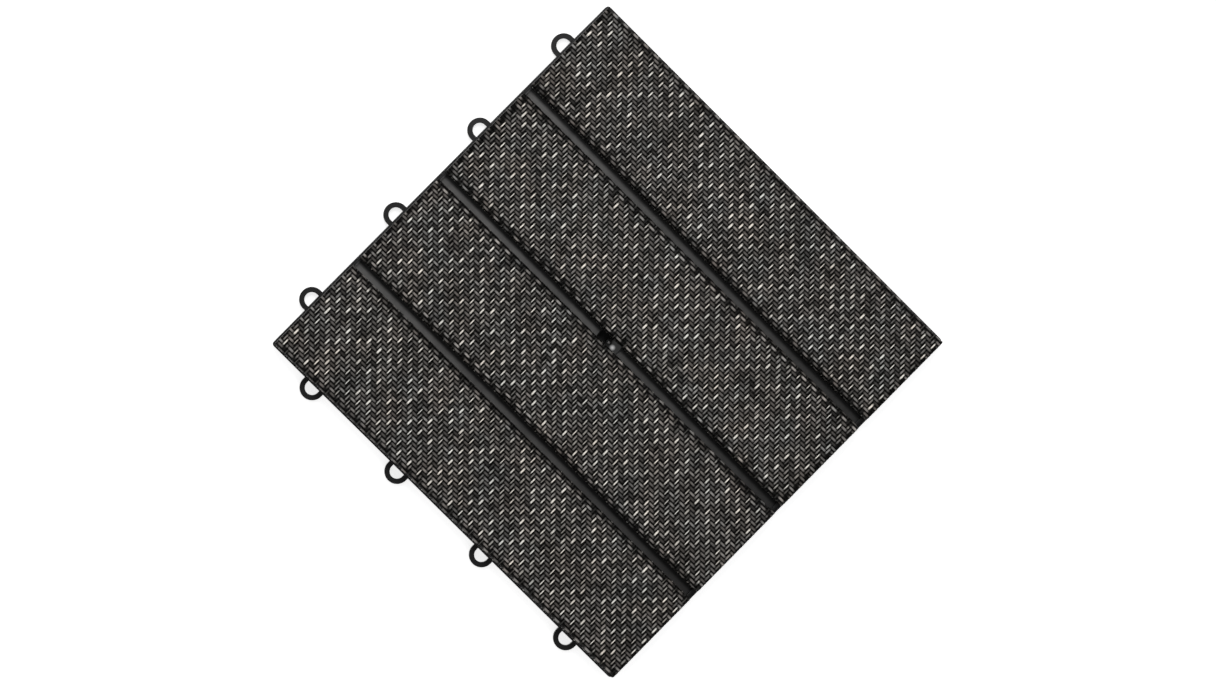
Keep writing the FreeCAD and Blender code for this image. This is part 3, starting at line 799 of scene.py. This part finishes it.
def area_light(name, place, size, power, aim=(0, 0, 0)):
    """A square softbox that faces a point."""
    data = bpy.data.lights.new(name, "AREA")
    data.shape, data.size, data.energy = "SQUARE", size, power
    lamp = bpy.data.objects.new(name, data)
    lamp.location = place
    lamp.rotation_mode = "QUATERNION"
    lamp.rotation_quaternion = (Vector(aim) - Vector(place)).to_track_quat("-Z", "Y")
    bpy.context.scene.collection.objects.link(lamp)


def seen_share(tree):
    """1 for rays that show the background itself: camera, mirror and see-through ones."""
    path = node(tree, "ShaderNodeLightPath")
    seen = calc(tree, "MAXIMUM", path.outputs["Is Camera Ray"], path.outputs["Is Glossy Ray"])
    return calc(tree, "MAXIMUM", seen, path.outputs["Is Transmission Ray"])


class DECKTILE_OT_studio(bpy.types.Operator):
    """Pale floor, soft lights and the camera above the tile"""

    bl_idname = "decktile.studio"
    bl_label = "Studio"

    def execute(self, context):
        scene, studio = context.scene, context.scene.decktile_studio
        scene.view_settings.view_transform = "Standard"
        self.sky(scene, studio)
        self.floor(scene)
        area_light("softbox", (0.34, 0.42, 1.3), 0.42, studio.softbox, (0.03, 0.2, 0))
        area_light("key", (1.0, 1.0, 1.6), 1.1, studio.key)
        self.camera(scene, studio)
        return {"FINISHED"}

    def sky(self, scene, studio):
        """Even light all round, and a ceiling that shows darker in reflections."""
        world = bpy.data.worlds.new("studio")
        world.use_nodes = True
        tree = world.node_tree
        tree.nodes.clear()
        up = parts(tree, node(tree, "ShaderNodeTexCoord").outputs["Generated"])["Z"]
        overhead = ranged(tree, up, 1.0, studio.overhead, 0.35, 0.75)
        mirror = calc(tree, "MULTIPLY", seen_share(tree), overhead)
        diffuse = calc(tree, "MULTIPLY", calc(tree, "SUBTRACT", 1.0, seen_share(tree)), studio.sky)
        strength = calc(tree, "ADD", mirror, diffuse)
        ground = node(tree, "ShaderNodeBackground", {"Color": (1, 1, 1, 1), "Strength": strength})
        node(tree, "ShaderNodeOutputWorld", {"Surface": ground.outputs["Background"]})
        scene.world = world

    def floor(self, scene):
        """Pale and evenly bright around the tile; under it the floor is painted dark, a painted shade,
        but for a painted pool of light below the drain.
        """
        material, tree, place = start_material("studio floor")
        spot = parts(tree, place)
        reach = square_reach(tree, spot)
        open_floor = ranged(tree, reach, 0.0, 1.0, 130 * MM, 145 * MM)
        tone = ranged(tree, noise(tree, place, 3), 0.78, 0.8, 0.3, 0.7)
        # Painted shade: the floor's colour is darkened under the tile
        tone = calc(tree, "MULTIPLY", tone, ranged(tree, open_floor, 0.08, 1.0))
        matt = node(tree, "ShaderNodeBsdfDiffuse", {"Color": grey_of(tree, tone)})
        # Painted pool of light: below the drain a patch of the floor glows for the camera and in
        # reflections
        under_drain = calc(tree, "MULTIPLY", ranged(tree, reach, 1.0, 0.0, 12 * MM, 14 * MM),
                           ranged(tree, spot["Y"], 1.0, 0.0, -3 * MM, -1 * MM))
        from_patch = way_from(tree, place, (-0.5 * MM, -4.7 * MM, 0))
        patch = ranged(tree, from_patch, 0.45, 0.03, 0.3 * MM, 2.1 * MM)
        lit = calc(tree, "ADD", calc(tree, "MULTIPLY", open_floor, 0.72),
                   calc(tree, "MULTIPLY", under_drain, patch))
        strength = calc(tree, "MULTIPLY", seen_share(tree), lit)
        glow = node(tree, "ShaderNodeEmission", {"Color": (1, 1, 1, 1), "Strength": strength})
        both = node(tree, "ShaderNodeAddShader", {0: matt.outputs[0], 1: glow.outputs[0]})
        node(tree, "ShaderNodeOutputMaterial", {"Surface": both.outputs[0]})
        corners = [(FLOOR_HALF * x, FLOOR_HALF * y, 0) for x, y in ((-1, -1), (1, -1), (1, 1), (-1, 1))]
        mesh = bpy.data.meshes.new("studio_floor")
        mesh.from_pydata(corners, [], [(0, 1, 2, 3)])
        mesh.materials.append(material)
        floor = bpy.data.objects.new("studio_floor", mesh)
        scene.collection.objects.link(floor)

    def camera(self, scene, studio):
        """Almost straight above the tile, with +X+Y up in the picture."""
        back = Vector((-math.tan(LEAN_X), math.tan(LEAN_Y), 1)).normalized()
        right = Vector((1, 1, 0)).cross(back).normalized()
        up = back.cross(right)
        right, up = (math.cos(ROLL) * right + math.sin(ROLL) * up,
                     -math.sin(ROLL) * right + math.cos(ROLL) * up)
        data = bpy.data.cameras.new("camera")
        data.lens, data.sensor_width = studio.lens, 36
        data.clip_start, data.clip_end = 0.1, 30
        camera = bpy.data.objects.new("camera", data)
        turn = Matrix((right, up, back)).transposed().to_4x4()
        camera.matrix_world = Matrix.Translation(CAMERA_TARGET + CAMERA_DISTANCE * back) @ turn
        scene.collection.objects.link(camera)
        scene.camera = camera


class DECKTILE_PT_panel(bpy.types.Panel):
    """Sizes, colours and steps of the deck tile"""

    bl_idname = "DECKTILE_PT_panel"
    bl_label = "Interlocking deck tile"
    bl_space_type = "VIEW_3D"
    bl_region_type = "UI"
    bl_category = "Deck Tile"

    def draw(self, context):
        for group in PROPERTY_GROUPS:
            settings = getattr(context.scene, group)
            column = self.layout.column(align=True)
            for name in settings.__annotations__:
                column.prop(settings, name)
        for step in STEPS:
            self.layout.operator(step.bl_idname)


PROPERTY_GROUPS = {"decktile_cloth": ClothProps, "decktile_base": BaseProps,
                   "decktile_screws": ScrewProps, "decktile_studio": StudioProps}
STEPS = (DECKTILE_OT_studio, DECKTILE_OT_base, DECKTILE_OT_boards, DECKTILE_OT_covers,
         DECKTILE_OT_screws)


def register():
    for kind in (*PROPERTY_GROUPS.values(), *STEPS, DECKTILE_PT_panel):
        bpy.utils.register_class(kind)
    for name, group in PROPERTY_GROUPS.items():
        setattr(bpy.types.Scene, name, PointerProperty(type=group))


def unregister():
    for name in PROPERTY_GROUPS:
        delattr(bpy.types.Scene, name)
    for kind in reversed((*PROPERTY_GROUPS.values(), *STEPS, DECKTILE_PT_panel)):
        bpy.utils.unregister_class(kind)


def main():
    register()
    bpy.ops.decktile.studio()
    bpy.ops.decktile.base()
    bpy.ops.decktile.boards()
    bpy.ops.decktile.covers()
    bpy.ops.decktile.screws()


if __name__ == "__main__":
    main()
